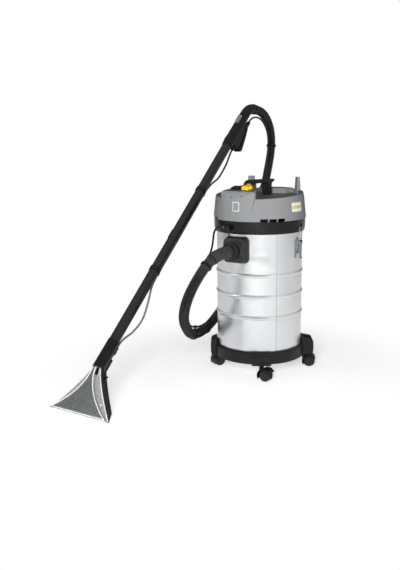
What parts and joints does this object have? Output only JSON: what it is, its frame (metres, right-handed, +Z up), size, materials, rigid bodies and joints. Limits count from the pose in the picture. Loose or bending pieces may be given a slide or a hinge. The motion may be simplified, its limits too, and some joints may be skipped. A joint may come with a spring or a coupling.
{
  "type": "spot extractor",
  "caption": "Wheeled wet spot extractor with a latched motor head on a steel tank, a suction hose, a spray line and a wand with a clear floor nozzle.",
  "frame": {"origin": "on the floor, under the vertical axis of the tank", "axes": "+Z up along the tank's axis, -Y the side of the inlet port, +X to the right as seen from that side"},
  "size_m": [0.5439, 1.2685, 0.9779],
  "materials": {
    "black_plastic": "matte",
    "band_plastic": "matte",
    "grey_plastic": "satin",
    "stainless": "polished",
    "zinc_steel": "satin",
    "white_plastic": "matte",
    "yellow_plastic": "gloss",
    "hose_plastic": "satin",
    "rubber": "matte",
    "tyre_rubber": "matte",
    "clear_plastic": "gloss",
    "brass": "satin",
    "filter_paper": "matte",
    "copper": "satin"
  },
  "bodies": {
    "machine": {"trolley_ring": "black_plastic", "tank": "stainless", "inlet_flange": "black_plastic", "inlet_deflector": "black_plastic", "latch_base_left": "stainless", "latch_base_right": "stainless", "head_band": "band_plastic", "head_seal": "rubber", "head_cover": "grey_plastic", "motor_housing": "black_plastic", "water_pump": "black_plastic", "filter_cartridge": "filter_paper", "float_cage": "black_plastic", "rocker_frame": "black_plastic", "carrying_handle": "black_plastic", "spray_socket": "black_plastic", "spray_plug": "black_plastic", "fresh_tank": "white_plastic", "bend_sleeve": "hose_plastic", "suction_hose": "hose_plastic", "spray_hose": "rubber", "hose_clips": "black_plastic", "lower_tube": "black_plastic", "upper_tube": "black_plastic", "tube_clips": "black_plastic", "hand_grip": "black_plastic", "valve_body": "black_plastic", "trigger_pin": "zinc_steel", "grip_cuff": "black_plastic", "wand_spray_line": "rubber", "neck_sleeve": "black_plastic", "nozzle_back": "black_plastic", "nozzle_cover": "clear_plastic", "nozzle_screws": "zinc_steel", "spray_jet": "brass", "line_coupling": "black_plastic"},
    "swivel_1": {"caster_fork_1": "black_plastic", "caster_axle_1": "zinc_steel"},
    "swivel_2": {"caster_fork_2": "black_plastic", "caster_axle_2": "zinc_steel"},
    "swivel_3": {"caster_fork_3": "black_plastic", "caster_axle_3": "zinc_steel"},
    "swivel_4": {"caster_fork_4": "black_plastic", "caster_axle_4": "zinc_steel"},
    "wheels_1": {"caster_wheels_1": "tyre_rubber"},
    "wheels_2": {"caster_wheels_2": "tyre_rubber"},
    "wheels_3": {"caster_wheels_3": "tyre_rubber"},
    "wheels_4": {"caster_wheels_4": "tyre_rubber"},
    "rotor": {"motor_rotor": "copper"},
    "float": {"float_ball": "white_plastic"},
    "knob": {"selector_knob": "yellow_plastic"},
    "rocker": {"power_rocker": "black_plastic"},
    "lever_left": {"latch_lever_left": "zinc_steel"},
    "lever_right": {"latch_lever_right": "zinc_steel"},
    "bail_left": {"latch_bail_left": "zinc_steel"},
    "bail_right": {"latch_bail_right": "zinc_steel"},
    "air_valve": {"air_slide": "grey_plastic"},
    "trigger": {"spray_trigger": "black_plastic"},
    "stem": {"valve_stem": "brass"},
    "cuff": {"inlet_cuff": "black_plastic"}
  },
  "joints": [
    {"name": "swivel_1_turn", "type": "hinge", "parent": "machine", "child": "swivel_1", "pos_m": [0.09041, -0.13922, 0.06], "axis": [0, 0, 1], "continuous": true},
    {"name": "wheels_1_spin", "type": "hinge", "parent": "swivel_1", "child": "wheels_1", "pos_m": [0.10938, -0.14021, 0.022], "axis": [0.0523, 0.9986, 0], "continuous": true},
    {"name": "swivel_2_turn", "type": "hinge", "parent": "machine", "child": "swivel_2", "pos_m": [0.14257, 0.09259, 0.06], "axis": [0, 0, 1], "continuous": true},
    {"name": "wheels_2_spin", "type": "hinge", "parent": "swivel_2", "child": "wheels_2", "pos_m": [0.15965, 0.10092, 0.022], "axis": [-0.4384, 0.8988, 0], "continuous": true},
    {"name": "swivel_3_turn", "type": "hinge", "parent": "machine", "child": "swivel_3", "pos_m": [-0.09259, 0.14257, 0.06], "axis": [0, 0, 1], "continuous": true},
    {"name": "wheels_3_spin", "type": "hinge", "parent": "swivel_3", "child": "wheels_3", "pos_m": [-0.10981, 0.13454, 0.022], "axis": [0.4226, -0.9063, 0], "continuous": true},
    {"name": "swivel_4_turn", "type": "hinge", "parent": "machine", "child": "swivel_4", "pos_m": [-0.13922, -0.09041, 0.06], "axis": [0, 0, 1], "continuous": true},
    {"name": "wheels_4_spin", "type": "hinge", "parent": "swivel_4", "child": "wheels_4", "pos_m": [-0.1321, -0.07279, 0.022], "axis": [-0.9272, 0.3746, 0], "continuous": true},
    {"name": "cuff_turn", "type": "hinge", "parent": "machine", "child": "cuff", "pos_m": [0, 0, 0.466], "axis": [0, -1, 0], "continuous": true},
    {"name": "rotor_spin", "type": "hinge", "parent": "machine", "child": "rotor", "pos_m": [0, 0, 0.56], "axis": [0, 0, 1], "continuous": true},
    {"name": "float_rise", "type": "slide", "parent": "machine", "child": "float", "axis": [0, 0, 1], "range_m": [0, 0.05]},
    {"name": "knob_turn", "type": "hinge", "parent": "machine", "child": "knob", "pos_m": [0.019, -0.121, 0.6744], "axis": [0, -0.1908, 0.9816], "range_deg": [0, 90]},
    {"name": "rocker_tilt", "type": "hinge", "parent": "machine", "child": "rocker", "pos_m": [-0.02, -0.1238, 0.6779], "axis": [1, 0, 0], "range_deg": [0, 14]},
    {"name": "lever_right_swing", "type": "hinge", "parent": "machine", "child": "lever_right", "pos_m": [0.165, 0, 0.484], "axis": [0, -1, 0], "range_deg": [0, 150]},
    {"name": "bail_right_swing", "type": "hinge", "parent": "lever_right", "child": "bail_right", "pos_m": [0.1602, 0, 0.462], "axis": [0, -1, 0], "range_deg": [-150, 0]},
    {"name": "lever_left_swing", "type": "hinge", "parent": "machine", "child": "lever_left", "pos_m": [-0.165, 0, 0.484], "axis": [0, 1, 0], "range_deg": [0, 150]},
    {"name": "bail_left_swing", "type": "hinge", "parent": "lever_left", "child": "bail_left", "pos_m": [-0.1602, 0, 0.462], "axis": [0, 1, 0], "range_deg": [-150, 0]},
    {"name": "air_valve_slide", "type": "slide", "parent": "machine", "child": "air_valve", "axis": [0, 0.7513, 0.66], "range_m": [0, 0.012]},
    {"name": "trigger_squeeze", "type": "hinge", "parent": "machine", "child": "trigger", "pos_m": [-0.23, 0.2762, 0.88646], "axis": [-1, 0, 0], "range_deg": [0, 5.4], "stiffness_Nm_per_rad": 4, "springref_deg": -2.86},
    {"name": "stem_push", "type": "slide", "parent": "machine", "child": "stem", "axis": [0, -0.66, 0.7513], "range_m": [0, 0.0067]}
  ],
  "couplings": [
    {"joint": "stem_push", "follows": "trigger_squeeze", "m_per_rad": 0.07},
    {"joint": "bail_right_swing", "follows": "lever_right_swing", "ratio": -1},
    {"joint": "bail_left_swing", "follows": "lever_left_swing", "ratio": -1}
  ]
}
